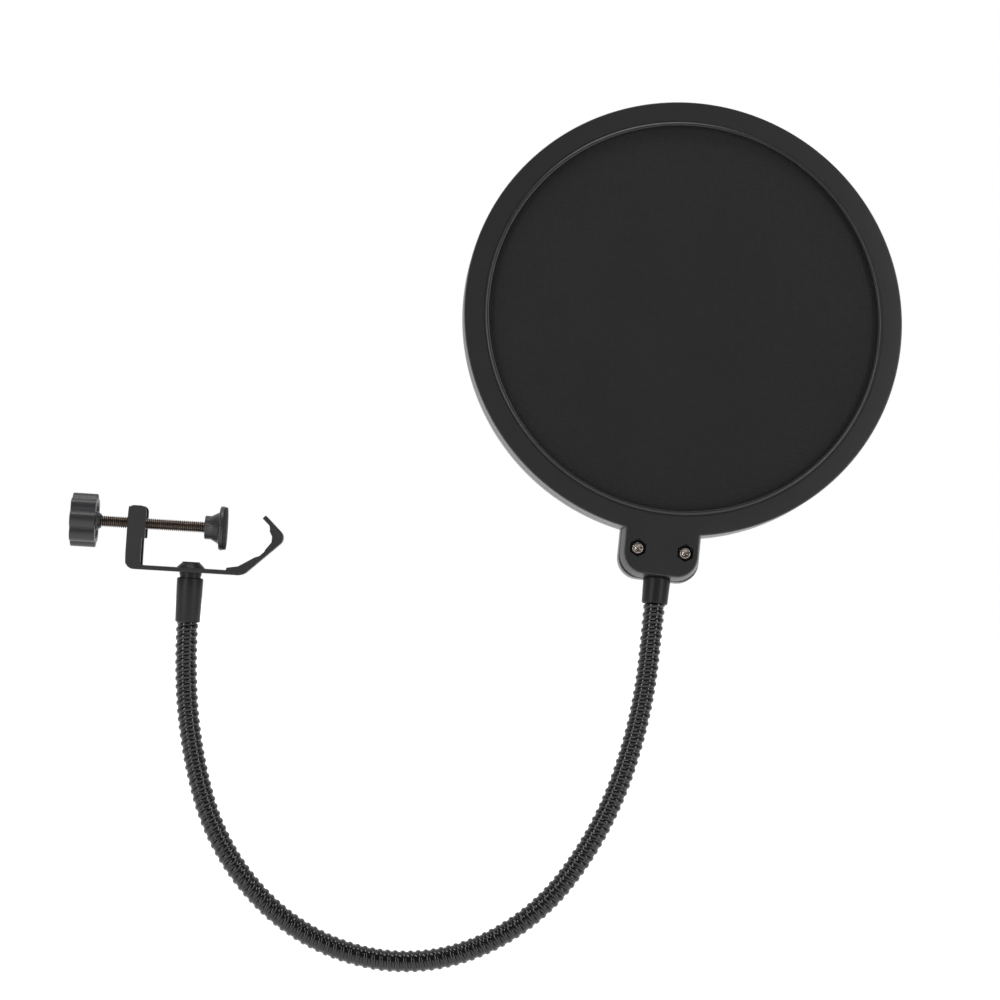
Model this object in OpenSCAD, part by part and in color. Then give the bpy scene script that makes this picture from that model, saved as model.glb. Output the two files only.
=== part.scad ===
// Pop filter: a round double screen on a gooseneck with a V-jaw clamp.
// Origin: centre of the gripped tube. +X from the pad to the jaw, +Y to the back, +Z up.

/* [Filter disc] */
// Outer diameter of the ring
ring_d = 156; // [120:1:180]
// Diameter of the round opening over the screen
opening_d = 138.4; // [100:0.2:140]
// Depth of the closed ring, front face to back face
ring_depth = 11; // [10:0.5:14]
// Thickness of a shell's wall
shell_wall = 1.9; // [1.6:0.1:2.2]
// Thickness of one nylon screen
screen_t = 0.4; // [0.3:0.05:0.6]

/* [Tab] */
// Width of the front half of the tab
tab_w = 26; // [25:0.5:28]
// How much wider the rear half of the tab is on each side
tab_step = 1.2; // [0.6:0.1:1.6]
// Distance from the disc's centre down to the line of the two screws
screws_down = 83.5; // [83:0.5:84.5]
// Distance between the two screws
screws_apart = 16.7; // [16:0.1:18]
// Distance from the screws down to the tab's lower edge
tab_below_screws = 8.8; // [8:0.2:9.6]

/* [Gooseneck] */
// Outer diameter of the gooseneck
neck_d = 7.3; // [6.8:0.1:7.6]
// Length between two neighbouring joints
link_len = 40.5; // [38:0.5:43]
// Sideways lean of the disc against the gooseneck's plane, in degrees
head_tilt = 6; // [0:1:10]

/* [Clamp] */
// Diameter of the tube that the clamp holds at rest
grip_d = 15; // [14:0.5:16]
// Width of the bracket
bracket_w = 12; // [12:0.5:14]
// Thickness of the bracket's sheet steel
sheet_t = 1.5; // [1.2:0.1:1.6]
// Outer diameter of the clamp screw
screw_d = 4; // [3.9:0.1:4.2]
// Diameter of the knob
knob_d = 18.4; // [17:0.2:20]
// Diameter of the pressure pad
pad_d = 15.2; // [14:0.2:16]

/* [Hidden] */
$fn = 64;

// clearances
running = 0.05;   // radial, round a shaft that turns
seat = 0.05;      // between flat faces of neighbouring bodies
cup_gap = 0.2;    // between a gooseneck ball and its cup

// clamp: the jaw is a V of two arms, symmetric about the X axis
grip_r = grip_d / 2;
jaw_angle = 43.5;                     // of each arm to the X axis
jaw_r = grip_r + 0.3;                 // from the tube's centre to an arm's inner face
jaw_arm = 9.2;                        // length of the upper arm along its inner face
strip_z = -12.2;                      // top of the base strip
upright_x = -39.7;                    // inner face of the upright
upright_top = 8.2;
upright_flange = 3.7;                 // depth of the side flanges along the upright
boss_flange = 4.7;                    // the same around the screw
jaw_apex = [jaw_r / sin(jaw_angle), 0];
jaw_foot = [(jaw_r + strip_z * cos(jaw_angle)) / sin(jaw_angle), strip_z];

// screw, knob and pad lie on one axis
screw_z = 2.1;
screw_r = screw_d / 2;
nut_barrel_r = 2.9;                   // of the clinch nut in the upright
nut_head_r = 3.9;
nut_head_t = 3.5;
pad_x = -grip_r;                      // front face of the pad
facing_t = 1;
pad_t = 2.6;
pad_hub_x = -15.1;
pin_r = 1.4;
knob_x = -60.7;
knob_len = 8.6;
knob_lobes = 8;
screw_into_knob = 2;                  // from the knob's outer face to the screw's end inside it
shoulder_depth = 1;                   // of the screw's full diameter inside the pad's hub
recess_depth = 4.4;                   // from the hub's end to the floor of the clip's recess
recess_r = 3.2;

// neck under the strip
neck_x = -19;
stud_r = 2;
shoulder_r = 3.6;
washer_t = 0.9;
nut_h = 2.1;
sleeve_top = -15.6;
sleeve_len = 15.2;
neck_r = neck_d / 2;
crimp_len = 7;                        // of the gooseneck inside the sleeve and the ferrule
crimp_overlap = 0.5;                  // past each end of that length
ball_r = 3.2;
end_gap = 1.4;                        // from a joint to the flat ends of its two links

// gooseneck: rigid arcs joined by balls, the first and last ones half as long
bends = [5, 14, 28, 32, 36, 31, 18, 13];
neck_start = [neck_x, sleeve_top - sleeve_len];

// head: the disc with its tab, measured upwards from the gooseneck's end
ferrule_len = 9.5;                    // seen below the tab
ferrule_top_r = 4.75;                 // of its shoulder against the tab
ring_r = ring_d / 2;
opening_r = opening_d / 2;
half = ring_depth / 2;
tab_bottom = ferrule_len;
screws_z = tab_bottom + tab_below_screws;
disc_z = screws_z + screws_down;
ring_bore_r = ring_r - shell_wall;
screen_r = ring_bore_r - 0.2;
screen_y = half - shell_wall;         // from the middle plane to a screen's outer face
spacer_half = screen_y - screen_t;
pocket_depth = 2.3;                   // of the hexagon pockets for heads and nuts
hex_r = 3.2;
m3_r = 1.45;
m3_nut_t = 2;
shank_r = 3.6;
flange_r = 4.6;
flange_z = screws_z + 1;
flange_t = 2;

// ---------- places ----------

function total(list, count) = count == 0 ? 0 : list[count - 1] + total(list, count - 1);
function heading(k) = -90 + total(bends, k);
function arc_len(k) = k == 0 || k == len(bends) ? link_len / 2 : link_len;
function chord(len, bend) = 2 * len / (bend * PI / 180) * sin(bend / 2);
function joint_at(k) = k == 0
    ? neck_start
    : joint_at(k - 1) + chord(arc_len(k - 1), bends[k - 1])
        * [cos(heading(k - 1) + bends[k - 1] / 2), sin(heading(k - 1) + bends[k - 1] / 2)];

// X forward along the gooseneck at joint k, Z to its left in the plane
module along_neck(k) {
    translate([joint_at(k)[0], 0, joint_at(k)[1]])
        rotate([0, -heading(k), 0])
            children();
}

// Z up through the disc, X to its right, from the gooseneck's end
module in_head() {
    radius = arc_len(0) / (head_tilt * PI / 180);
    along_neck(len(bends))
        translate([radius * sin(head_tilt), radius * (1 - cos(head_tilt)), 0])
            rotate([0, 0, head_tilt])
                rotate([0, 90, 0])
                    children();
}

// Z along the disc's axis from its middle plane to the back
module on_disc() {
    in_head()
        translate([0, 0, disc_z])
            rotate([-90, 0, 0])
                children();
}

// Z along the clamp screw
module on_screw(x) {
    translate([x, 0, screw_z])
        rotate([0, 90, 0])
            children();
}

// ---------- shared shapes ----------

// a quarter circle from the given angle on, as points of a polygon
function corner_points(centre, r, start) =
    [for (a = [start:15:start + 90]) centre + r * [cos(a), sin(a)]];

// an arc from the origin along +X that curves towards +Z; the shape is drawn on its cross-section
module curve_up(radius, bend) {
    translate([0, 0, radius])
        rotate([90, 0, 0])
            rotate([0, 0, -90])
                rotate_extrude(angle = bend)
                    translate([radius, 0])
                        children();
}

// ---------- clamp ----------

// a flat run of the sheet between two corners of its inner face, shortened for the bends
module sheet_run(from, to, trim_from, trim_to) {
    step = to - from;
    translate([from[0], 0, from[1]])
        rotate([0, -atan2(step[1], step[0]), 0])
            translate([trim_from, -bracket_w / 2, -sheet_t])
                cube([norm(step) - trim_from - trim_to, bracket_w, sheet_t]);
}

// the bend at a corner of the inner face, after a run that heads at the given angle
module sheet_bend(corner, heading, turn, inner_r) {
    translate([corner[0], 0, corner[1]])
        rotate([0, -heading, 0])
            translate([-inner_r * tan(turn / 2), 0, 0])
                curve_up(inner_r, turn)
                    translate([0, -bracket_w / 2])
                        square([sheet_t, bracket_w]);
}

// a plate of the sheet's thickness along each side edge of the bracket
module on_both_edges(inset = 0) {
    for (side = [0, 1])
        mirror([0, side, 0])
            translate([0, bracket_w / 2 - inset, 0])
                rotate([90, 0, 0])
                    linear_extrude(sheet_t)
                        children();
}

// side flanges of the upright: narrow below, wider and rounded around the screw
module upright_flanges() {
    outer_x = upright_x - sheet_t;
    boss_x = upright_x + boss_flange;
    flange_x = upright_x + upright_flange;
    boss_low = screw_z - 5;
    corner_r = 2;
    low_z = strip_z - sheet_t / 2;
    on_both_edges()
        polygon(concat(
            [[upright_x - sheet_t / 2, low_z], [flange_x, low_z], [flange_x, boss_low], [boss_x, boss_low]],
            corner_points([boss_x - corner_r, upright_top - corner_r], corner_r, 0),
            corner_points([outer_x + corner_r, upright_top - corner_r], corner_r, 90),
            [[outer_x, boss_low], [upright_x - sheet_t / 2, boss_low]]));
}

// side webs that stiffen the two bends of the jaw, rooted half way into the sheet; they stay clear
// of the gripped tube
module jaw_webs() {
    mid = sheet_t / 2;
    on_both_edges(inset = 0.1) {
        polygon([[-7, strip_z - mid], [-6.6, -11.3], [-2.7, -10.6], [2.8, -7.2], [4.8, -6.5],
                 jaw_foot + [7.1, 5.8], jaw_foot + [1.4, 0.3], jaw_foot + [-1.2, -mid]]);
        polygon([[5.4, -6.4], [6.2, -4.4], [8.2, -1.7], [8.3, 0.2], [7.4, 2], [7.4, 3], [7, 4.6],
                 jaw_apex + [mid, 0]]);
    }
}

module clamp_bracket() {
    low_corner = [upright_x, strip_z];
    top = [upright_x, upright_top - 0.8];
    tip = jaw_apex + jaw_arm * [-cos(jaw_angle), sin(jaw_angle)];
    low_r = 1.5;
    jaw_bend_r = 3;
    apex_r = 1.5;
    low_trim = low_r * tan(45);
    foot_trim = jaw_bend_r * tan(jaw_angle / 2);
    apex_trim = apex_r * tan(90 - jaw_angle);
    color("#26272a")
        difference() {
            union() {
                sheet_run(top, low_corner, 0, low_trim);
                sheet_bend(low_corner, -90, 90, low_r);
                sheet_run(low_corner, jaw_foot, low_trim, foot_trim);
                sheet_bend(jaw_foot, 0, jaw_angle, jaw_bend_r);
                sheet_run(jaw_foot, jaw_apex, foot_trim, apex_trim);
                sheet_bend(jaw_apex, jaw_angle, 180 - 2 * jaw_angle, apex_r);
                sheet_run(jaw_apex, tip, apex_trim, 0);
                upright_flanges();
                jaw_webs();
            }
            on_screw(upright_x - sheet_t - 1)
                cylinder(r = nut_barrel_r, h = sheet_t + 2);
            translate([neck_x, 0, strip_z - sheet_t - 1])
                cylinder(r = stud_r + running, h = sheet_t + 2);
        }
}

module clinch_nut() {
    bevel = 0.5;
    color("#3a3632")
        on_screw(upright_x - sheet_t)
            difference() {
                union() {
                    cylinder(r = nut_barrel_r, h = sheet_t);
                    translate([0, 0, sheet_t])
                        cylinder(r = nut_head_r, h = nut_head_t - bevel);
                    translate([0, 0, sheet_t + nut_head_t - bevel])
                        cylinder(r1 = nut_head_r, r2 = nut_head_r - bevel, h = bevel);
                }
                translate([0, 0, -1])
                    cylinder(r = screw_r + running, h = sheet_t + nut_head_t + 2);
            }
}

// the threaded length, the part inside the knob and the turned-down pin for the pad
module clamp_screw() {
    start = knob_x + screw_into_knob;
    shoulder = pad_hub_x + shoulder_depth;
    pin_end = pad_x - facing_t - 0.8;
    color("#4a403a")
        on_screw(start)
            union() {
                cylinder(r = screw_r, h = shoulder - start);
                translate([0, 0, shoulder - start])
                    cylinder(r = pin_r, h = pin_end - shoulder);
            }
}

// the knob's outline: round lobes that meet in shallow valleys
module knob_outline() {
    lobe_r = 3.2;
    polygon([for (i = [0:knob_lobes - 1]) for (a = [-65:13:65])
        (knob_d / 2 - lobe_r) * [cos(360 / knob_lobes * i), sin(360 / knob_lobes * i)]
            + lobe_r * [cos(360 / knob_lobes * i + a), sin(360 / knob_lobes * i + a)]]);
}

// hollow towards the clamp, with a rib from the hub to each valley
module clamp_knob() {
    hub_r = 3.4;
    hub_end_r = 2.3;
    hub_len = 1.5;
    hollow_r = 6.2;
    floor_t = 3;
    rib_t = 1.2;
    rib_below_rim = 0.4;
    color("#2b2c2e")
        on_screw(knob_x)
            difference() {
                union() {
                    difference() {
                        linear_extrude(knob_len)
                            knob_outline();
                        translate([0, 0, floor_t])
                            cylinder(r = hollow_r, h = knob_len);
                    }
                    for (i = [0:knob_lobes - 1])
                        rotate([0, 0, 360 / knob_lobes * (i + 0.5)])
                            translate([0, -rib_t / 2, floor_t - 1])
                                cube([hollow_r + 0.4, rib_t, knob_len - rib_below_rim - floor_t + 1]);
                    translate([0, 0, floor_t - 1])
                        cylinder(r = hub_r, h = knob_len - floor_t + 1);
                    translate([0, 0, knob_len])
                        cylinder(r1 = hub_r, r2 = hub_end_r, h = hub_len);
                }
                translate([0, 0, screw_into_knob])
                    cylinder(r = screw_r, h = knob_len + hub_len);
            }
}

// hub, flared web and disc; the screw's pin turns in its bore
module pressure_pad() {
    hub_r = 4.05;
    hub_len = 2.2;
    flare_r = 5.6;
    bevel = 0.4;
    disc_z = pad_x - pad_t - pad_hub_x;
    face_z = pad_x - facing_t - pad_hub_x;
    color("#2b2c2e")
        on_screw(pad_hub_x)
            difference() {
                union() {
                    cylinder(r = hub_r, h = face_z);
                    translate([0, 0, hub_len])
                        cylinder(r1 = hub_r, r2 = flare_r, h = disc_z - hub_len);
                    translate([0, 0, disc_z])
                        cylinder(r1 = pad_d / 2 - bevel, r2 = pad_d / 2, h = bevel);
                    translate([0, 0, disc_z + bevel])
                        cylinder(r = pad_d / 2, h = face_z - disc_z - bevel);
                }
                translate([0, 0, -1])
                    cylinder(r = screw_r + running, h = 1 + shoulder_depth + seat);
                cylinder(r = pin_r + running, h = face_z);
                translate([0, 0, recess_depth])
                    cylinder(r = recess_r, h = face_z);
            }
}

module pad_facing() {
    facing_r = pad_d / 2 - 0.2;
    bevel = 0.3;
    color("#3c3d3f")
        on_screw(pad_x - facing_t)
            union() {
                cylinder(r = facing_r, h = facing_t - bevel);
                translate([0, 0, facing_t - bevel])
                    cylinder(r1 = facing_r, r2 = facing_r - bevel, h = bevel);
            }
}

// a push-on clip: it rides with the screw's pin inside the pad's recess
module pad_clip() {
    color("silver")
        on_screw(pad_hub_x + recess_depth + seat)
            difference() {
                cylinder(r = recess_r - 0.6, h = 0.5);
                translate([0, 0, -1])
                    cylinder(r = pin_r, h = 3);
            }
}

// ---------- neck ----------

module neck_stud() {
    shoulder_low = sleeve_top - 5;
    shoulder_top = strip_z - sheet_t - seat - washer_t;
    color("#33312f")
        translate([neck_x, 0, shoulder_low])
            union() {
                cylinder(r = shoulder_r, h = shoulder_top - shoulder_low);
                translate([0, 0, 1])
                    cylinder(r = stud_r, h = strip_z + nut_h - shoulder_low - 1);
            }
}

module neck_washer() {
    color("#33312f")
        translate([neck_x, 0, strip_z - sheet_t - seat - washer_t])
            difference() {
                cylinder(r = shoulder_r + 0.2, h = washer_t);
                translate([0, 0, -1])
                    cylinder(r = stud_r, h = washer_t + 2);
            }
}

// a low cone with a flat top
module neck_nut() {
    low_r = 4.9;
    high_r = 3.3;
    top_r = 3.05;
    top_t = 0.5;
    color("#26272a")
        translate([neck_x, 0, strip_z + seat])
            difference() {
                union() {
                    cylinder(r1 = low_r, r2 = high_r, h = nut_h - top_t);
                    translate([0, 0, nut_h - top_t])
                        cylinder(r = top_r, h = top_t - seat);
                }
                translate([0, 0, -1])
                    cylinder(r = stud_r, h = 4);
            }
}

module lower_sleeve() {
    low_r = 4.2;
    top_r = 4.5;
    bevel = 0.5;
    color("#232326")
        translate([neck_x, 0, sleeve_top - sleeve_len])
            difference() {
                union() {
                    cylinder(r1 = low_r, r2 = top_r, h = sleeve_len - bevel);
                    translate([0, 0, sleeve_len - bevel])
                        cylinder(r1 = top_r, r2 = top_r - bevel, h = bevel);
                }
                translate([0, 0, -1])
                    cylinder(r = neck_r, h = sleeve_len + 2);
            }
}

// ---------- gooseneck ----------

// link k runs from joint k to joint k + 1, with a cup at its start and a ball at its end
module gooseneck_link(k) {
    first = k == 0;
    last = k == len(bends);
    bend = last ? head_tilt : bends[k];
    radius = arc_len(k) / (bend * PI / 180);
    gap_angle = end_gap / radius * 180 / PI;
    from = first ? 0 : gap_angle;
    to = last ? bend : bend - gap_angle;
    color("#2a2a2c")
        along_neck(k)
            rotate([last ? -90 : 0, 0, 0])
                difference() {
                    union() {
                        at_angle(radius, from)
                            curve_up(radius, to - from)
                                circle(r = neck_r);
                        if (first)
                            translate([-crimp_len, 0, 0])
                                crimped_end();
                        at_angle(radius, bend)
                            if (last)
                                crimped_end();
                            else
                                sphere(r = ball_r);
                    }
                    if (!first)
                        sphere(r = ball_r + cup_gap);
                }
}

// the stretch of the gooseneck inside the sleeve or the ferrule, pressed a little thinner
module crimped_end() {
    translate([-crimp_overlap, 0, 0])
        rotate([0, 90, 0])
            cylinder(r = neck_r - 0.05, h = crimp_len + 2 * crimp_overlap);
}

// the place on a link's arc where it has turned by the given angle
module at_angle(radius, angle) {
    translate([radius * sin(angle), 0, radius * (1 - cos(angle))])
        rotate([0, -angle, 0])
            children();
}

// ---------- head ----------

// crimped over the gooseneck, with a solid shank and flange held inside the tab
module upper_ferrule() {
    low_r = 4.5;
    bevel = 0.6;
    socket_len = crimp_len + crimp_overlap + 0.1;
    color("#2a282b")
        in_head()
            difference() {
                union() {
                    cylinder(r1 = low_r, r2 = ferrule_top_r, h = ferrule_len - bevel);
                    translate([0, 0, ferrule_len - bevel])
                        cylinder(r1 = ferrule_top_r, r2 = ferrule_top_r - bevel, h = bevel);
                    cylinder(r = shank_r, h = flange_z);
                    translate([0, 0, flange_z])
                        cylinder(r = flange_r, h = flange_t);
                }
                translate([0, 0, -1])
                    cylinder(r = neck_r, h = 1 + socket_len);
            }
}

// half of the tab, from the middle plane outwards: Z up, Y outwards
module tab_half(w, bottom, corner_r) {
    top = disc_z - ring_r + 8;
    translate([0, half, 0])
        rotate([90, 0, 0])
            linear_extrude(half) {
                for (x = [-1, 1])
                    translate([x * (w / 2 - corner_r), bottom + corner_r])
                        circle(r = corner_r);
                translate([-w / 2 + corner_r, bottom])
                    square([w - 2 * corner_r, corner_r]);
                translate([-w / 2, bottom + corner_r])
                    square([w, top - bottom - corner_r]);
            }
}

// the ring of one half: X outwards from the disc's axis, Y from the middle plane to the face
module ring_section() {
    lip_w = 1.3;
    lip_h = 0.4;
    translate([ring_bore_r, 0])
        square([shell_wall, half]);
    polygon([[opening_r, screen_y], [opening_r, half], [opening_r + 0.3, half + lip_h],
             [opening_r + lip_w - 0.3, half + lip_h], [opening_r + lip_w, half],
             [ring_r, half], [ring_r, screen_y]]);
}

// one half of the housing, drawn with its face towards +Y
module shell_half(w, bottom, corner_r) {
    difference() {
        union() {
            translate([0, 0, disc_z])
                rotate([-90, 0, 0])
                    rotate_extrude($fn = 180)
                        ring_section();
            difference() {
                tab_half(w, bottom, corner_r);
                translate([0, -1, disc_z])
                    rotate([-90, 0, 0])
                        cylinder(r = ring_bore_r + shell_wall / 2, h = ring_depth, $fn = 180);
            }
        }
        for (x = [-1, 1])
            translate([x * screws_apart / 2, 0, screws_z])
                rotate([-90, 0, 0]) {
                    translate([0, 0, -1])
                        cylinder(r = m3_r + 0.15, h = ring_depth);
                    translate([0, 0, half - pocket_depth])
                        rotate([0, 0, 30])
                            cylinder(r = hex_r, h = pocket_depth + 1, $fn = 6);
                }
        translate([0, 0, bottom - 1])
            cylinder(r = shank_r, h = flange_z - bottom + 2);
        translate([0, 0, flange_z])
            cylinder(r = flange_r, h = flange_t);
        if (bottom < tab_bottom)
            translate([0, 0, bottom - 1])
                cylinder(r = ferrule_top_r + 0.1, h = tab_bottom - bottom + 1);
    }
}

module front_shell() {
    color("#2c2c2d")
        in_head()
            mirror([0, 1, 0])
                shell_half(tab_w, tab_bottom, 7.5);
}

module rear_shell() {
    color("#343435")
        in_head()
            shell_half(tab_w + 2 * tab_step, tab_bottom - tab_step, 7.3);
}

module screen() {
    cylinder(r = screen_r, h = screen_t, $fn = 180);
}

module front_screen() {
    color("#1f1e1e")
        on_disc()
            translate([0, 0, -screen_y])
                screen();
}

module rear_screen() {
    color("#1f1e1e")
        on_disc()
            translate([0, 0, spacer_half])
                screen();
}

module spacer_ring() {
    color("#202021")
        on_disc()
            difference() {
                cylinder(r = screen_r, h = 2 * spacer_half, center = true, $fn = 180);
                cylinder(r = opening_r + 2, h = ring_depth, center = true, $fn = 180);
            }
}

module at_tab_screws() {
    in_head()
        for (x = [-1, 1])
            translate([x * screws_apart / 2, 0, screws_z])
                rotate([-90, 0, 0])
                    children();
}

// M3 pan head screws with a cross recess, heads to the front
module tab_screws() {
    head_r = 2.45;
    rim_h = 1;
    dome_h = 0.7;
    dome_r = head_r - 0.7;
    shank_len = 8;
    cross = [2.6, 0.6, 1.8];
    seat_y = -(half - pocket_depth);
    color("#b9b2a6")
        at_tab_screws()
            difference() {
                union() {
                    translate([0, 0, seat_y])
                        cylinder(r = m3_r, h = shank_len);
                    translate([0, 0, seat_y - rim_h])
                        cylinder(r = head_r, h = rim_h);
                    translate([0, 0, seat_y - rim_h - dome_h])
                        cylinder(r1 = dome_r, r2 = head_r, h = dome_h);
                }
                for (turn = [45, 135])
                    rotate([0, 0, turn])
                        translate([0, 0, seat_y - rim_h - dome_h])
                            cube(cross, center = true);
            }
}

module tab_nuts() {
    color("#b9b2a6")
        at_tab_screws()
            translate([0, 0, half - pocket_depth])
                difference() {
                    rotate([0, 0, 30])
                        cylinder(r = hex_r - 0.05, h = m3_nut_t, $fn = 6);
                    translate([0, 0, -1])
                        cylinder(r = m3_r, h = m3_nut_t + 2);
                }
}

clamp_bracket();
clinch_nut();
clamp_screw();
clamp_knob();
pressure_pad();
pad_facing();
pad_clip();
neck_stud();
neck_washer();
neck_nut();
lower_sleeve();
for (k = [1:9])
    gooseneck_link(k - 1);
upper_ferrule();
front_shell();
rear_shell();
front_screen();
rear_screen();
spacer_ring();
tab_screws();
tab_nuts();
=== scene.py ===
"""A pop filter: a round double screen on a gooseneck, held on a tube by a screw clamp with a V jaw."""

import math

import bpy
from mathutils import Matrix, Vector


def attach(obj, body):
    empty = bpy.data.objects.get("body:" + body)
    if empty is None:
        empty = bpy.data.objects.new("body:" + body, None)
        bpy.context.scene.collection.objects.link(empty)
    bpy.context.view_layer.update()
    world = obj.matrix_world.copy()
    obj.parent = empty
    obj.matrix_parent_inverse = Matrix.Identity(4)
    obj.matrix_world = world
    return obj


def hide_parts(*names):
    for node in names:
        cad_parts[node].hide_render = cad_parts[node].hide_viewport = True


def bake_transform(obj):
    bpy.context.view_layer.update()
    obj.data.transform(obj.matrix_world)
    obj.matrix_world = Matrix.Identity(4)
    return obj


MM = 0.001

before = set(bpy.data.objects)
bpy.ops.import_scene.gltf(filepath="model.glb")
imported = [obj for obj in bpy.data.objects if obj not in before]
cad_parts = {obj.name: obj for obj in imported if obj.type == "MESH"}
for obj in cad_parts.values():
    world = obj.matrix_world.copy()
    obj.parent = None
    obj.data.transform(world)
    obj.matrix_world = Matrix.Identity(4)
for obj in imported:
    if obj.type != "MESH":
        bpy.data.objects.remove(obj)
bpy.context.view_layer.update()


# ---- sizes, in millimetres ------------------------------------------------------------------

# Clamp
screw_z = 2.1
upright_x = -39.7
upright_top = 8.2
flange_depth = 3.7
boss_depth = 4.7
bend_r = 3.0
bracket_w = 12.0
sheet_t = 1.5
jaw_angle = 43.5
jaw_arm = 9.2
jaw_r = 7.8  # from the gripped tube's centre to each arm's inner face
boss_below_screw = 5.0
nut_hole_r = 2.9
stud_hole_r = 2.05
thread_pitch = 0.7
thread_r = 2.0
thread_root_r = 1.62
screw_from_x = -58.7
screw_full_to_x = -14.1
screw_end_x = -9.3
pin_r = 1.4

# Neck and gooseneck
neck_x = -19.0
strip_z = -12.2
sleeve_top_z = -15.6
sleeve_len = 15.2
coil_r = 3.85
round_wire_r = 1.17
link_len = 40.5
bends = [5, 14, 28, 32, 36, 31, 18, 13]
head_tilt = 6
turns_in_link = 14.625
coil_pitch = link_len / turns_in_link

# Disc, in the frame of the gooseneck's upper end
ring_r = 78.0
opening_r = 69.2
ring_bore_r = 76.1
screen_r = 75.9
half = 5.5
shell_wall = 1.9
screen_t = 0.4
ferrule_len = 9.5
disc_z = 101.8
screws_z = 18.3
screws_apart = 16.7
hex_r = 3.2
pocket_depth = 2.3
tab_half_w = 13.0
tab_step = 1.2
tab_root = 1.3  # how far the tab's upper edge lies inside the ring's wall
seam = 0.02  # from the middle plane to each half's edge
apart = 0.02  # between solids that are joined, so that no two faces lie in one plane


# ---- the gooseneck's centre line ------------------------------------------------------------

def frame_at(point, along, across, side):
    """A place whose X runs across the neck, Y to its side and Z along it."""
    place = Matrix((across, side, along)).transposed().to_4x4()
    place.translation = point
    return place


def neck_frame(length):
    """The neck's frame at a length from the sleeve, in millimetres."""
    heading = math.radians(-90)
    point = Vector((neck_x, 0, sleeve_top_z - sleeve_len))
    side = Vector((0, 1, 0))
    arcs = [(link_len / 2, bends[0])] + [(link_len, bend) for bend in bends[1:]]
    left = length
    for arc, bend in arcs:
        step = left if left < 0 else min(left, arc)
        turn = math.radians(bend) * step / arc
        middle = heading + turn / 2
        chord = step if abs(turn) < 1e-9 else step * math.sin(turn / 2) / (turn / 2)
        point = point + chord * Vector((math.cos(middle), 0, math.sin(middle)))
        heading += turn
        left -= step
        if left <= 0:
            break
    along = Vector((math.cos(heading), 0, math.sin(heading)))
    across = Vector((math.sin(heading), 0, -math.cos(heading)))
    if left <= 0:
        return frame_at(point, along, across, side)
    lean = math.radians(head_tilt) * min(left / (link_len / 2), 1)
    chord = left * math.sin(lean / 2) / (lean / 2)
    point = point + chord * (math.cos(lean / 2) * along + math.sin(lean / 2) * side)
    leant_along = math.cos(lean) * along + math.sin(lean) * side
    leant_side = math.cos(lean) * side - math.sin(lean) * along
    return frame_at(point, leant_along, across, leant_side)


neck_len = link_len * len(bends)
head_base = neck_frame(neck_len)
head = Matrix.Translation(head_base.translation * MM) @ head_base.to_3x3().to_4x4()
disc = head @ Matrix.Translation((0, 0, disc_z * MM))
to_front = disc @ Matrix.Rotation(math.radians(90), 4, "X")
to_back = disc @ Matrix.Rotation(math.radians(180), 4, "Z") @ Matrix.Rotation(math.radians(90), 4, "X")
along_screw = Matrix.Translation((0, 0, screw_z * MM)) @ Matrix.Rotation(math.radians(90), 4, "Y")
on_neck = Matrix.Translation((neck_x * MM, 0, 0))


# ---- modelling ------------------------------------------------------------------------------

def select_only(piece):
    bpy.ops.object.select_all(action="DESELECT")
    piece.select_set(True)
    bpy.context.view_layer.objects.active = piece


def edit(piece):
    select_only(piece)
    bpy.ops.object.mode_set(mode="EDIT")
    bpy.ops.mesh.select_all(action="SELECT")


def leave_edit():
    bpy.ops.object.mode_set(mode="OBJECT")


def outline(name, points):
    """A line of edges pulled from point to point, left in edit mode and selected."""
    bpy.ops.object.select_all(action="DESELECT")
    bpy.ops.mesh.primitive_plane_add(size=MM, location=Vector(points[0]) * MM)
    piece = bpy.context.object
    piece.name = name
    piece.data.name = name
    bpy.ops.object.transform_apply(location=True, rotation=False, scale=False)
    edit(piece)
    bpy.ops.mesh.merge(type="CENTER")
    for here, there in zip(points, points[1:]):
        step = (Vector(there) - Vector(here)) * MM
        bpy.ops.mesh.extrude_vertices_move(TRANSFORM_OT_translate={"value": step})
    bpy.ops.mesh.select_all(action="SELECT")
    bpy.ops.mesh.remove_doubles(threshold=MM / 1000)
    return piece


def tidy_surface():
    """Merges what meets and turns every face outwards, in edit mode."""
    bpy.ops.mesh.select_all(action="SELECT")
    bpy.ops.mesh.remove_doubles(threshold=MM / 1000)
    bpy.ops.mesh.normals_make_consistent(inside=False)


def turned(name, section, sides=96):
    """A turned piece: its half section, as (radius, height), spun round the Z axis."""
    points = [(radius, 0, height) for radius, height in section]
    if section[0][0] > 0:
        points.append(points[0])
    piece = outline(name, points)
    bpy.ops.mesh.spin(steps=sides, angle=math.tau, center=(0, 0, 0), axis=(0, 0, 1))
    tidy_surface()
    leave_edit()
    return piece


def slab(name, points, thickness):
    """A flat outline in X and Y, filled and pulled up along Z."""
    piece = outline(name, points + points[:1])
    bpy.ops.mesh.edge_face_add()
    bpy.ops.mesh.extrude_region_move(TRANSFORM_OT_translate={"value": (0, 0, thickness * MM)})
    tidy_surface()
    leave_edit()
    return piece


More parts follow.
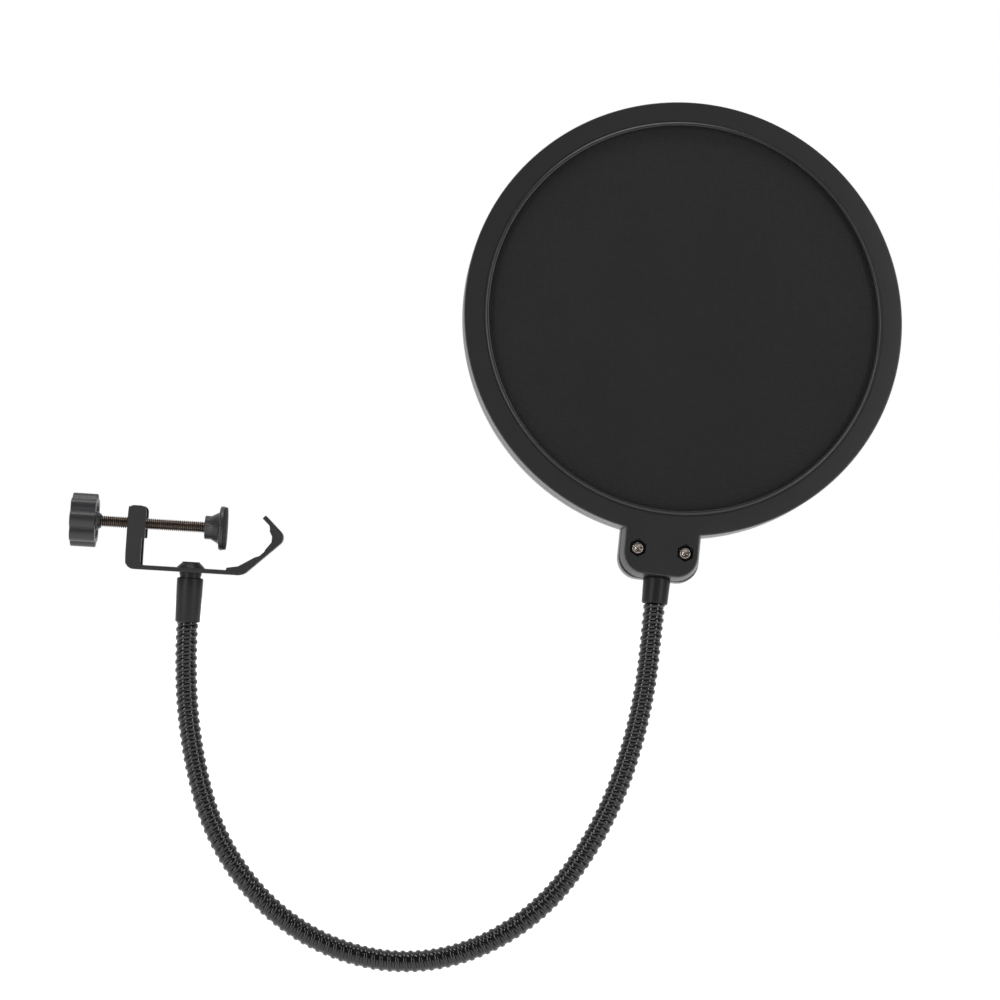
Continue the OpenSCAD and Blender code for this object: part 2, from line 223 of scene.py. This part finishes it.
def helix(name, section, pitch, first_eighth, eighths):
    """A wire wound round Z: its section, as (radius, height), screwed in steps of an eighth of a turn."""
    points = [(radius, 0, height) for radius, height in section]
    piece = outline(name, points + points[:1])
    bpy.ops.mesh.edge_face_add()
    leave_edit()
    winding = piece.modifiers.new("winding", "SCREW")
    winding.axis = "Z"
    winding.angle = math.tau / 8
    winding.steps = 4
    winding.render_steps = 4
    winding.screw_offset = pitch / 8 * MM
    winding.iterations = eighths
    bpy.ops.object.modifier_apply(modifier=winding.name)
    close_ends(piece)
    turn = Matrix.Rotation(math.tau / 8 * first_eighth, 4, "Z")
    rise = Matrix.Translation((0, 0, pitch / 8 * first_eighth * MM))
    put(piece, rise @ turn)
    return piece


def close_ends(piece):
    """Closes both ends of a wound wire, after the face that it was wound from is taken away."""
    edit(piece)
    bpy.ops.mesh.select_mode(type="FACE")
    bpy.ops.mesh.select_all(action="DESELECT")
    leave_edit()
    for face in piece.data.polygons:
        face.select = len(face.vertices) > 4
    bpy.ops.object.mode_set(mode="EDIT")
    bpy.ops.mesh.delete(type="ONLY_FACE")
    bpy.ops.mesh.select_mode(type="VERT")
    bpy.ops.mesh.select_all(action="DESELECT")
    bpy.ops.mesh.select_non_manifold()
    bpy.ops.mesh.edge_face_add()
    tidy_surface()
    leave_edit()


def put(piece, place):
    """Moves a piece to its place and leaves its object at the origin."""
    select_only(piece)
    piece.matrix_world = place
    bpy.ops.object.transform_apply(location=True, rotation=True, scale=True)


def ease_edges(piece, width, angle=35, segments=2):
    """Rounds the edges sharper than an angle, as a mould, a press or a deburring wheel leaves them."""
    select_only(piece)
    bevel = piece.modifiers.new("eased edges", "BEVEL")
    bevel.width = width * MM
    bevel.segments = segments
    bevel.limit_method = "ANGLE"
    bevel.angle_limit = math.radians(angle)
    bevel.use_clamp_overlap = False
    bpy.ops.object.modifier_apply(modifier=bevel.name)


def smooth(piece, angle=32, flat_faces=False):
    """Shades the rounded parts smooth; flat_faces keeps the wide faces beside eased edges even."""
    select_only(piece)
    bpy.ops.object.shade_smooth_by_angle(angle=math.radians(angle))
    if flat_faces:
        weighted = piece.modifiers.new("even faces", "WEIGHTED_NORMAL")
        weighted.keep_sharp = True
        bpy.ops.object.modifier_apply(modifier=weighted.name)


def combine(piece, other, operation):
    """Joins another solid to a piece, or cuts it out, and takes the other away."""
    select_only(piece)
    boolean = piece.modifiers.new("combined", "BOOLEAN")
    boolean.object = other
    boolean.operation = operation
    boolean.solver = "EXACT"
    bpy.ops.object.modifier_apply(modifier=boolean.name)
    bpy.data.objects.remove(other, do_unlink=True)
    edit(piece)
    bpy.ops.mesh.remove_doubles(threshold=MM / 1000)
    leave_edit()


def join(piece, other):
    select_only(piece)
    other.select_set(True)
    bpy.ops.object.join()


def worked_copy(node_name, name):
    """The shape of a designed piece as one joined surface, whose edges can then be eased."""
    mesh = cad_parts[node_name].data.copy()
    mesh.name = name
    mesh.materials.clear()
    piece = bpy.data.objects.new(name, mesh)
    bpy.context.collection.objects.link(piece)
    edit(piece)
    bpy.ops.mesh.remove_doubles(threshold=MM / 200)
    bpy.ops.mesh.dissolve_limited(angle_limit=math.radians(0.5))
    bpy.ops.mesh.normals_make_consistent(inside=False)
    leave_edit()
    return piece


def arc(centre_x, centre_y, radius, start, end, steps):
    """Points on an arc, from one angle to another in degrees."""
    points = []
    for i in range(steps + 1):
        angle = math.radians(start + (end - start) * i / steps)
        points.append((centre_x + radius * math.cos(angle), centre_y + radius * math.sin(angle)))
    return points


def install(piece, material, body, slot, *nodes):
    """Gives a finished piece its material, the body it moves with and the nodes it stands for."""
    piece.data.materials.clear()
    piece.data.materials.append(material)
    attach(piece, body)
    if nodes:
        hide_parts(*nodes)


# ---- materials ------------------------------------------------------------------------------

def colour(hex_code):
    """An sRGB hex colour as the linear colour that a shader takes."""
    channels = [int(hex_code[i:i + 2], 16) / 255 for i in (1, 3, 5)]
    linear = [c / 12.92 if c <= 0.04045 else ((c + 0.055) / 1.055) ** 2.4 for c in channels]
    return (*linear, 1)


def add(tree, kind, inputs=(), **settings):
    """Adds a node with its settings; each input is a value, or another node's output."""
    made = tree.nodes.new(kind)
    for name, value in settings.items():
        setattr(made, name, value)
    for name, value in dict(inputs).items():
        if isinstance(value, bpy.types.NodeSocket):
            tree.links.new(value, made.inputs[name])
        else:
            made.inputs[name].default_value = value
    return made


def material_of(name):
    """A new material, with its node tree and shader."""
    material = bpy.data.materials.new(name)
    material.use_nodes = True
    tree = material.node_tree
    return material, tree, tree.nodes["Principled BSDF"]


def grained(name, dark, light, roughness, spread, grain, depth, patch, metallic=0, specular=0.5):
    """A surface with two close tones in soft patches and a fine grain, whose sizes are in millimetres."""
    material, tree, shader = material_of(name)
    place = add(tree, "ShaderNodeTexCoord").outputs["Object"]
    patches = add(tree, "ShaderNodeTexNoise", {"Vector": place, "Scale": 1 / (patch * MM), "Detail": 3})
    fine = add(tree, "ShaderNodeTexNoise", {"Vector": place, "Scale": 1 / (grain * MM), "Detail": 2})
    tone = add(tree, "ShaderNodeMix", {"Factor": patches.outputs["Fac"]}, data_type="RGBA")
    tone.inputs["A"].default_value = colour(dark)
    tone.inputs["B"].default_value = colour(light)
    gloss = add(tree, "ShaderNodeMapRange", {
        "Value": fine.outputs["Fac"],
        "To Min": roughness - spread,
        "To Max": roughness + spread,
    })
    bump = add(tree, "ShaderNodeBump", {
        "Height": fine.outputs["Fac"],
        "Distance": depth * MM,
        "Strength": 1,
    })
    tree.links.new(tone.outputs["Result"], shader.inputs["Base Color"])
    tree.links.new(gloss.outputs["Result"], shader.inputs["Roughness"])
    tree.links.new(bump.outputs["Normal"], shader.inputs["Normal"])
    shader.inputs["Metallic"].default_value = metallic
    shader.inputs["Specular IOR Level"].default_value = specular
    return material


def moulded_abs():
    """Black ABS from a spark-eroded mould: dark grey with a fine satin grain of about 0.35 mm."""
    return grained("moulded black ABS", "#181818", "#1d1d1e", 0.34, 0.05, 0.35, 0.012, 14, specular=0.4)


def knob_nylon():
    """Black glass-filled nylon: a little lighter and glossier than ABS, with a coarser flow pattern."""
    return grained("moulded black nylon", "#1b1b1d", "#232325", 0.38, 0.08, 0.5, 0.02, 5, specular=0.35)


def facing_rubber_finish():
    """Black nitrile rubber: matt, with a dusty bloom that the eye reads as soft."""
    return grained("black rubber", "#1c1c1e", "#262628", 0.72, 0.08, 0.3, 0.03, 3, specular=0.2)


def powder_coat():
    """Black powder coat on pressed steel: satin with the orange peel of about 0.8 mm that coats have."""
    return grained("black powder coat", "#161617", "#1d1d1e", 0.42, 0.05, 0.8, 0.03, 6, specular=0.35)


def black_oxide():
    """Black oxide on turned steel: thin, warm and slightly glossy."""
    return grained("black oxide steel", "#0f0e0f", "#161415", 0.42, 0.06, 0.4, 0.008, 4, specular=0.2)


def oiled_thread_steel():
    """Zinc-plated thread darkened by oil and wear: brownish metal that lightens along its crests."""
    return grained("dark plated steel", "#463c36", "#6e645d", 0.34, 0.08, 0.3, 0.01, 2, metallic=1)


def neck_enamel():
    """Black enamel on wound steel wire: thin and glossy, worn a little lighter where coils rub."""
    return grained("black enamelled wire", "#070707", "#0d0d0e", 0.15, 0.04, 0.6, 0.006, 3, specular=0.4)


def sleeve_finish():
    """Black PVC sleeve: plain satin, with shallow waviness from shrinking."""
    return grained("black PVC", "#0f0f10", "#151516", 0.46, 0.05, 0.9, 0.02, 5, specular=0.22)


def nickel_plate():
    """Bright nickel on rolled screws: warm grey metal with fine handling marks."""
    return grained("nickel plate", "#8b8179", "#a89e96", 0.22, 0.06, 0.25, 0.006, 1.2, metallic=1)


def spring_steel():
    """Tempered spring steel: dark blue-grey metal."""
    return grained("spring steel", "#4c5056", "#5d6066", 0.35, 0.05, 0.3, 0.006, 2, metallic=1)


def woven_nylon():
    """Black nylon voile. Its threads lie about 0.3 mm apart, too fine to show, so they are drawn coarser."""
    material, tree, shader = material_of("woven black nylon")
    place = add(tree, "ShaderNodeTexCoord").outputs["Object"]
    thread_gap = 0.75 * MM
    bands = []
    for direction in ("X", "Z"):
        wave = add(tree, "ShaderNodeTexWave", {"Vector": place, "Scale": math.tau / 20 / thread_gap},
                   wave_type="BANDS", bands_direction=direction, wave_profile="SIN")
        bands.append(wave.outputs["Fac"])
    weave = add(tree, "ShaderNodeMath", operation="MULTIPLY")
    tree.links.new(bands[0], weave.inputs[0])
    tree.links.new(bands[1], weave.inputs[1])
    slack = add(tree, "ShaderNodeTexNoise", {"Vector": place, "Scale": 1 / (35 * MM), "Detail": 1})
    thread = add(tree, "ShaderNodeMix", {"Factor": weave.outputs["Value"]}, data_type="RGBA")
    thread.inputs["A"].default_value = colour("#131313")
    thread.inputs["B"].default_value = colour("#262525")
    tone = add(tree, "ShaderNodeMix", {"Factor": slack.outputs["Fac"], "A": thread.outputs["Result"]},
               data_type="RGBA", blend_type="MULTIPLY")
    tone.inputs["B"].default_value = colour("#e6e2e2")
    bump = add(tree, "ShaderNodeBump", {"Height": weave.outputs["Value"], "Distance": 0.1 * MM})
    tree.links.new(tone.outputs["Result"], shader.inputs["Base Color"])
    tree.links.new(bump.outputs["Normal"], shader.inputs["Normal"])
    shader.inputs["Roughness"].default_value = 0.75
    shader.inputs["Specular IOR Level"].default_value = 0.15
    shader.inputs["Sheen Weight"].default_value = 0.05
    return material


finishes = {
    "shell_plastic": moulded_abs(),
    "knob_plastic": knob_nylon(),
    "facing_rubber": facing_rubber_finish(),
    "bracket_steel": powder_coat(),
    "blackened_steel": black_oxide(),
    "screw_steel": oiled_thread_steel(),
    "gooseneck_steel": neck_enamel(),
    "sleeve_plastic": sleeve_finish(),
    "nickel_steel": nickel_plate(),
    "clip_steel": spring_steel(),
    "screen_nylon": woven_nylon(),
}


# ---- clamp ----------------------------------------------------------------------------------

def bent_sheet_points(corners, radii, depth):
    """One face of a bent sheet: its corners rounded, at a depth to the right of the inner face."""
    points = []
    for i, corner in enumerate(corners):
        before = corner - corners[i - 1] if i > 0 else corners[1] - corners[0]
        after = corners[i + 1] - corner if i + 1 < len(corners) else before
        before_angle = math.atan2(before.y, before.x)
        after_angle = math.atan2(after.y, after.x)
        turn = after_angle - before_angle
        if abs(turn) < 1e-6:
            side = Vector((math.sin(before_angle), -math.cos(before_angle)))
            points.append(corner + depth * side)
            continue
        to_centre = Vector((-math.sin(before_angle), math.cos(before_angle)))
        start = corner - before.normalized() * radii[i] * math.tan(turn / 2)
        centre = start + to_centre * radii[i]
        start_angle = math.degrees(before_angle) - 90
        rounded = arc(centre.x, centre.y, radii[i] + depth, start_angle, start_angle + math.degrees(turn), 8)
        points += [Vector(point) for point in rounded]
    return points


def side_slab(name, outline_points, from_y, thickness):
    """A plate whose outline is given as (x, z) and which reaches back from a place on Y."""
    plate = slab(name, [(x, z, 0) for x, z in outline_points], thickness)
    lift = Matrix.Translation((0, (from_y + thickness) * MM, 0)) @ Matrix.Rotation(math.radians(90), 4, "X")
    put(plate, lift)
    return plate


def drill(piece, place, radius, depth):
    bpy.ops.object.select_all(action="DESELECT")
    bpy.ops.mesh.primitive_cylinder_add(vertices=64, radius=radius * MM, depth=depth * MM)
    drilled = bpy.context.object
    put(drilled, place)
    combine(piece, drilled, "DIFFERENCE")


def make_upright():
    """The upright and its side flanges, pressed in one: a deep channel, wider round the screw."""
    outer_x = upright_x - sheet_t
    flange_x = upright_x + flange_depth
    boss_x = upright_x + boss_depth
    boss_low = screw_z - boss_below_screw
    under = strip_z - sheet_t
    side_view = [(flange_x, under), (flange_x, boss_low), (boss_x, boss_low)]
    side_view += arc(boss_x - 2, upright_top - 2, 2, 0, 90, 6)
    side_view += arc(outer_x + 2, upright_top - 2, 2, 90, 180, 6)
    side_view += arc(outer_x + bend_r, under + bend_r, bend_r, 180, 270, 8)
    channel = side_slab("pressed_bracket", side_view, -bracket_w / 2, bracket_w)
    edit(channel)
    bpy.ops.mesh.select_mode(type="EDGE")
    bpy.ops.mesh.select_all(action="DESELECT")
    leave_edit()
    for edge in channel.data.edges:
        ends = [channel.data.vertices[i].co / MM for i in edge.vertices]
        at_side = all(abs(abs(end.y) - bracket_w / 2) < 0.01 for end in ends)
        on_outer_face = all(end.x < outer_x + 0.01 for end in ends)
        edge.select = at_side and on_outer_face
    bpy.ops.object.mode_set(mode="EDIT")
    bpy.ops.mesh.bevel(offset=1.4 * MM, segments=5)
    bpy.ops.mesh.select_mode(type="VERT")
    leave_edit()
    inside = [
        (upright_x, strip_z),
        (boss_x + 1, strip_z),
        (boss_x + 1, upright_top + 1),
        (upright_x, upright_top + 1),
    ]
    hollow = side_slab("hollow", inside, sheet_t - bracket_w / 2, bracket_w - 2 * sheet_t)
    combine(channel, hollow, "DIFFERENCE")
    ease_edges(channel, 0.2, angle=50)
    return channel


def make_strip_and_jaw():
    """The base strip and the V of the jaw, bent from the same sheet."""
    slope = math.radians(jaw_angle)
    apex = Vector((jaw_r / math.sin(slope), 0))
    foot = Vector(((jaw_r + strip_z * math.cos(slope)) / math.sin(slope), strip_z))
    tip = apex + jaw_arm * Vector((-math.cos(slope), math.sin(slope)))
    corners = [Vector((upright_x + 2.5, strip_z)), foot, apex, tip]
    radii = [0, 3, 1.5, 0]
    section = bent_sheet_points(corners, radii, 0)
    section += reversed(bent_sheet_points(corners, radii, sheet_t))
    section = [tuple(point) for point in section]
    strip = side_slab("strip_and_jaw", section, apart - bracket_w / 2, bracket_w - 2 * apart)
    ease_edges(strip, 0.25, angle=50)
    return strip, foot, apex


def make_bracket():
    """One pressing: upright, strip, jaw, and a web at each edge of the jaw's two bends."""
    bracket = make_upright()
    strip, foot, apex = make_strip_and_jaw()
    combine(bracket, strip, "UNION")
    middle = sheet_t / 2
    foot_web = [(-7, strip_z - middle), (-6.6, -11.3), (-2.7, -10.6), (2.8, -7.2), (4.8, -6.5),
                (foot.x + 7.1, foot.y + 5.8), (foot.x + 1.4, foot.y + 0.3), (foot.x - 1.2, foot.y - middle)]
    apex_web = [(5.4, -6.4), (6.2, -4.4), (8.2, -1.7), (8.3, 0.2), (7.4, 2), (7.4, 3), (7, 4.6),
                (apex.x + middle, apex.y)]
    for outline_points in (foot_web, apex_web):
        for from_y in (0.1 - bracket_w / 2, bracket_w / 2 - 0.1 - sheet_t):
            web = side_slab("web", list(reversed(outline_points)), from_y, sheet_t)
            ease_edges(web, 0.15, angle=50)
            combine(bracket, web, "UNION")
    at_nut = Matrix.Translation((upright_x * MM, 0, screw_z * MM))
    across_upright = at_nut @ Matrix.Rotation(math.radians(90), 4, "Y")
    through_strip = Matrix.Translation((neck_x * MM, 0, strip_z * MM))
    drill(bracket, across_upright, nut_hole_r, 4 * sheet_t)
    drill(bracket, through_strip, stud_hole_r, 4 * sheet_t)
    smooth(bracket, flat_faces=True)
    install(bracket, finishes["bracket_steel"], "clamp", "bracket_steel", "clamp_bracket")


def make_clinch_nut():
    piece = worked_copy("clinch_nut", "threaded_clinch_nut")
    ease_edges(piece, 0.2)
    smooth(piece)
    install(piece, finishes["blackened_steel"], "clamp", "blackened_steel", "clinch_nut")


def make_screw():
    """A core with a pin at its end, and the thread wound on it."""
    core = turned("threaded_screw", [
        (0, screw_from_x),
        (thread_root_r, screw_from_x),
        (thread_root_r, screw_full_to_x),
        (pin_r, screw_full_to_x),
        (pin_r, screw_end_x - 0.3),
        (pin_r - 0.3, screw_end_x),
        (0, screw_end_x),
    ], sides=48)
    crest = 0.06
    thread = helix("thread", [
        (thread_root_r - 0.1, -0.45 * thread_pitch),
        (thread_root_r - 0.1, 0.45 * thread_pitch),
        (thread_r - 0.04, crest),
        (thread_r, 0),
        (thread_r - 0.04, -crest),
    ], thread_pitch, 0, int((screw_full_to_x - screw_from_x) / thread_pitch * 8) - 5)
    put(thread, Matrix.Translation((0, 0, (screw_from_x + thread_pitch / 2) * MM)))
    join(core, thread)
    smooth(core, 60)
    put(core, along_screw)
    install(core, finishes["screw_steel"], "screw", "screw_steel", "clamp_screw")


def make_knob():
    piece = worked_copy("clamp_knob", "lobed_knob")
    ease_edges(piece, 0.35, angle=40, segments=3)
    smooth(piece, flat_faces=True)
    install(piece, finishes["knob_plastic"], "screw", "knob_plastic", "clamp_knob")


def make_pad():
    """The pad's hub, its flared web and its disc, hollow behind for the clip."""
    piece = worked_copy("pressure_pad", "moulded_pad")
    ease_edges(piece, 0.25)
    smooth(piece)
    install(piece, finishes["knob_plastic"], "pad", "knob_plastic", "pressure_pad")


def make_facing():
    piece = worked_copy("pad_facing", "rubber_facing")
    ease_edges(piece, 0.25)
    smooth(piece)
    install(piece, finishes["facing_rubber"], "pad", "facing_rubber", "pad_facing")


# ---- neck and gooseneck ---------------------------------------------------------------------

def make_neck_nut():
    piece = worked_copy("neck_nut", "conical_nut")
    ease_edges(piece, 0.15)
    smooth(piece)
    install(piece, finishes["blackened_steel"], "neck", "blackened_steel", "neck_nut")


def make_lower_sleeve():
    """A tube with a chamfer at its top, slightly narrower at its open lower end."""
    bottom_z = sleeve_top_z - sleeve_len
    piece = turned("gooseneck_sleeve", [
        (2.1, sleeve_top_z),
        (4.0, sleeve_top_z),
        (4.35, sleeve_top_z - 0.15),
        (4.5, sleeve_top_z - 0.5),
        (4.47, sleeve_top_z - 4),
        (4.24, bottom_z + 0.3),
        (4.15, bottom_z + 0.05),
        (4.0, bottom_z),
        (3.88, bottom_z + 0.15),
        (3.88, bottom_z + 6),
        (2.1, bottom_z + 6),
    ])
    smooth(piece)
    put(piece, on_neck)
    install(piece, finishes["sleeve_plastic"], "neck", "sleeve_plastic", "lower_sleeve")


def follow_neck(piece):
    """Bends a straight wire, whose Z is its place along the neck, on to the neck's centre line."""
    for vertex in piece.data.vertices:
        x, y, z = vertex.co / MM
        place = neck_frame(z)
        vertex.co = place @ Vector((x, y, 0)) * MM
    piece.data.update()


def round_section():
    """The round wire's section, as (radius, height)."""
    return arc(coil_r - round_wire_r, 0, round_wire_r, -180, 150, 11)


def wedge_section():
    """The wedge wire's section: a wide outer face that narrows to fit between the round coils."""
    outer_r = coil_r - 0.5
    inner_r = coil_r - round_wire_r
    middle = coil_pitch / 2
    return [
        (inner_r, middle - 0.17),
        (outer_r - 0.05, middle - 0.44),
        (outer_r, middle - 0.2),
        (outer_r, middle + 0.2),
        (outer_r - 0.05, middle + 0.44),
        (inner_r, middle + 0.17),
    ]


def make_gooseneck():
    """Both wires, in one length for each place where the neck bends, with ends that run into their sockets."""
    bodies = ["neck", "link_2", "link_3", "link_4", "link_5", "link_6", "link_7", "link_8", "head"]
    in_link = round(turns_in_link * 8)
    in_socket = 12
    sections = {"round_wire": round_section(), "wedge_wire": wedge_section()}
    for number in range(1, len(bodies)):
        first = in_link * (number - 1)
        start = neck_frame(link_len * (number - 1)).translation * MM
        end = neck_frame(link_len * number).translation * MM
        before = in_socket if number == 1 else 0
        after = in_socket if number == len(bodies) - 1 else 0
        for wire, section in sections.items():
            piece = helix(f"{wire}_{number}", section, coil_pitch, first - before, in_link + before + after)
            follow_neck(piece)
            smooth(piece, 50)
            piece.data.materials.append(finishes["gooseneck_steel"])
            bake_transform(piece)
            if wire == "wedge_wire":
                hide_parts(f"gooseneck_link_{number}")
        if number == len(bodies) - 1:
            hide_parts("gooseneck_link_9")


# ---- disc -----------------------------------------------------------------------------------

def make_ferrule():
    """A tube with a rounded shoulder under the tab, crimped on the gooseneck, and a flange inside the tab."""
    piece = turned("crimped_ferrule", [
        (3.88, 0.1),
        (4.0, 0),
        (4.3, 0),
        (4.5, 0.25),
        (4.75, ferrule_len - 1.4),
        (4.68, ferrule_len - 0.8),
        (4.45, ferrule_len - 0.35),
        (4.0, ferrule_len - 0.05),
        (3.6, ferrule_len),
        (3.6, screws_z),
        (4.6, screws_z + 1),
        (4.6, screws_z + 3),
        (1.0, screws_z + 3),
        (1.0, 6),
        (3.88, 6),
    ])
    smooth(piece)
    put(piece, head)
    install(piece, finishes["blackened_steel"], "head", "blackened_steel", "upper_ferrule")


def ring_section():
    """Half of the ring in section, from the middle plane to its face, with a lip round the opening."""
    return [
        (opening_r, half - shell_wall),
        (opening_r, half),
        (opening_r + 0.12, half + 0.25),
        (opening_r + 0.45, half + 0.4),
        (opening_r + 0.9, half + 0.36),
        (opening_r + 1.25, half + 0.12),
        (opening_r + 1.4, half - 0.2),
        (opening_r + 1.75, half - 0.2),
        (opening_r + 1.95, half),
        (ring_r - 0.6, half),
        (ring_r - 0.15, half - 0.2),
        (ring_r, half - 0.6),
        (ring_r, 0.25),
        (ring_r - 0.2, seam),
        (ring_bore_r, seam),
        (ring_bore_r, half - shell_wall),
    ]


def tab_points(half_w, bottom_z, corner_r):
    """The tab's outline seen from its face, with its upper edge hidden in the ring's wall."""
    low = bottom_z - disc_z
    side = half_w - corner_r
    root_r = ring_r - tab_root
    spread = math.degrees(math.asin(half_w / root_r))
    points = arc(-side, low + corner_r, corner_r, 180, 270, 8)
    points += arc(side, low + corner_r, corner_r, 270, 360, 8)
    points += arc(0, 0, root_r, -90 + spread, -90 - spread, 10)
    return [(x, y, seam + apart) for x, y in points]


def flare_tab(tab, half_w, bottom_z):
    """Draws the tab's walls out to the rear half's outline, where the two halves meet."""
    widest = tab_half_w + tab_step - 0.1
    lowest = ferrule_len - tab_step + 0.1 - disc_z
    if half_w >= widest:
        return
    root_y = tab_root - ring_r
    edit(tab)
    bpy.ops.mesh.select_all(action="DESELECT")
    leave_edit()
    for vertex in tab.data.vertices:
        vertex.select = vertex.co.z < half / 2 * MM
    bpy.ops.object.mode_set(mode="EDIT")
    bpy.ops.transform.resize(
        value=(widest / half_w, (lowest - root_y) / (bottom_z - disc_z - root_y), 1),
        center_override=(0, root_y * MM, 0),
    )
    leave_edit()


def make_shell(name, half_w, bottom_z, corner_r, place, node_name):
    """One half of the ring with its half of the tab and the two hexagonal pockets in it."""
    shell = turned(name, ring_section(), sides=256)
    tab = slab("tab", tab_points(half_w, bottom_z, corner_r), half - seam - 2 * apart)
    flare_tab(tab, half_w, bottom_z)
    ease_edges(tab, 0.6, angle=60)
    combine(shell, tab, "UNION")
    for side in (-1, 1):
        bpy.ops.object.select_all(action="DESELECT")
        bpy.ops.mesh.primitive_cylinder_add(
            vertices=6,
            radius=hex_r * MM,
            depth=pocket_depth * 2 * MM,
            location=(side * screws_apart / 2 * MM, (screws_z - disc_z) * MM, half * MM),
        )
        combine(shell, bpy.context.object, "DIFFERENCE")
    smooth(shell, 30, flat_faces=True)
    put(shell, place)
    install(shell, finishes["shell_plastic"], "head", "shell_plastic", node_name)


def make_screen(name, place, node_name):
    """A round of voile stretched flat between a shell and the spacer ring."""
    bpy.ops.object.select_all(action="DESELECT")
    bpy.ops.mesh.primitive_circle_add(
        vertices=128,
        radius=screen_r * MM,
        fill_type="TRIFAN",
        location=(0, 0, (half - shell_wall - screen_t / 2) * MM),
    )
    piece = bpy.context.object
    piece.name = name
    piece.data.name = name
    bpy.ops.object.transform_apply(location=True, rotation=True, scale=True)
    put(piece, place)
    install(piece, finishes["screen_nylon"], "head", "screen_nylon", node_name)


def make_tab_screws():
    piece = worked_copy("tab_screws", "cross_screws")
    ease_edges(piece, 0.1)
    smooth(piece)
    install(piece, finishes["nickel_steel"], "head", "nickel_steel", "tab_screws")


def make_tab_nuts():
    piece = worked_copy("tab_nuts", "hexagon_nuts")
    ease_edges(piece, 0.12)
    smooth(piece)
    install(piece, finishes["nickel_steel"], "head", "nickel_steel", "tab_nuts")


make_bracket()
make_clinch_nut()
make_screw()
make_knob()
make_pad()
make_facing()
make_neck_nut()
make_lower_sleeve()
make_gooseneck()
make_ferrule()
make_shell("front_half_shell", tab_half_w, ferrule_len, 7.5, to_front, "front_shell")
make_shell("rear_half_shell", tab_half_w + tab_step, ferrule_len - tab_step, 7.3, to_back, "rear_shell")
make_screen("front_voile", to_front, "front_screen")
make_screen("rear_voile", to_back, "rear_screen")
make_tab_screws()
make_tab_nuts()

carried_over = {
    "neck_stud": "blackened_steel",
    "neck_washer": "blackened_steel",
    "pad_clip": "clip_steel",
    "spacer_ring": "shell_plastic",
}
for node_name, slot_name in carried_over.items():
    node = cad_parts[node_name]
    for material_slot in node.material_slots:
        material_slot.material = finishes[slot_name]


# ---- studio ---------------------------------------------------------------------------------

def make_floor():
    """A wide pale floor, evenly lit from within like a light table."""
    bpy.ops.object.select_all(action="DESELECT")
    bpy.ops.mesh.primitive_plane_add(size=40, location=(0, 0, -0.45))
    floor = bpy.context.object
    floor.name = "floor"
    material, tree, shader = material_of("white floor")
    shader.inputs["Base Color"].default_value = colour("#f4f4f4")
    shader.inputs["Roughness"].default_value = 0.9
    shader.inputs["Emission Color"].default_value = (1, 1, 1, 1)
    shader.inputs["Emission Strength"].default_value = 0.75
    floor.data.materials.append(material)


def make_world():
    """A white room that is brighter behind the object than in front of it."""
    world = bpy.data.worlds.new("studio")
    bpy.context.scene.world = world
    world.use_nodes = True
    tree = world.node_tree
    back = tree.nodes["Background"]
    way = add(tree, "ShaderNodeTexCoord").outputs["Generated"]
    parts = add(tree, "ShaderNodeSeparateXYZ", {"Vector": way})
    room = add(tree, "ShaderNodeMapRange", {
        "Value": parts.outputs["Y"],
        "From Min": -0.35,
        "From Max": 0.35,
        "To Min": 0.12,
        "To Max": 1.0,
    }, interpolation_type="SMOOTHSTEP")
    seen = add(tree, "ShaderNodeLightPath").outputs["Is Camera Ray"]
    level = add(tree, "ShaderNodeMath", operation="MAXIMUM")
    tree.links.new(room.outputs["Result"], level.inputs[0])
    tree.links.new(seen, level.inputs[1])
    tree.links.new(level.outputs["Value"], back.inputs["Strength"])
    back.inputs["Color"].default_value = (1, 1, 1, 1)


def make_soft_light(name, spot, width, height, power):
    """A soft box that faces the middle of the object."""
    light = bpy.data.lights.new(name, "AREA")
    light.shape = "RECTANGLE"
    light.size = width
    light.size_y = height
    light.energy = power
    lamp = bpy.data.objects.new(name, light)
    bpy.context.collection.objects.link(lamp)
    lamp.location = spot
    lamp.rotation_euler = (Vector((0.07, 0, 0.02)) - Vector(spot)).to_track_quat("-Z", "Y").to_euler()


def make_camera():
    """At the height of the clamp, turned a little so that the object hangs to the right."""
    scene = bpy.context.scene
    data = bpy.data.cameras.new("camera")
    data.sensor_width = 36
    distance = 0.85
    data.lens = 36 * distance / 0.348
    data.clip_end = 100
    camera = bpy.data.objects.new("camera", data)
    bpy.context.collection.objects.link(camera)
    target = Vector((0.0862, 0, 0.0179))
    azimuth = math.radians(-3.6)
    elevation = math.radians(-1.5)
    back = Vector((
        math.sin(azimuth) * math.cos(elevation),
        -math.cos(azimuth) * math.cos(elevation),
        math.sin(elevation),
    ))
    camera.location = target + distance * back
    look = (-back).to_track_quat("-Z", "Y").to_matrix().to_4x4()
    roll = Matrix.Rotation(math.radians(3.5), 4, "Z")
    camera.matrix_world = Matrix.Translation(camera.location) @ look @ roll
    scene.camera = camera


make_floor()
make_world()
make_soft_light("left_box", (-0.6, -0.7, 0.2), 0.16, 0.9, 4.5)
make_soft_light("right_box", (0.75, -0.7, 0.2), 0.16, 0.9, 4.0)
make_soft_light("top_box", (0.0, -0.2, 0.9), 0.7, 0.35, 5)
make_camera()
bpy.context.scene.view_settings.view_transform = "Standard"

bpy.context.view_layer.update()
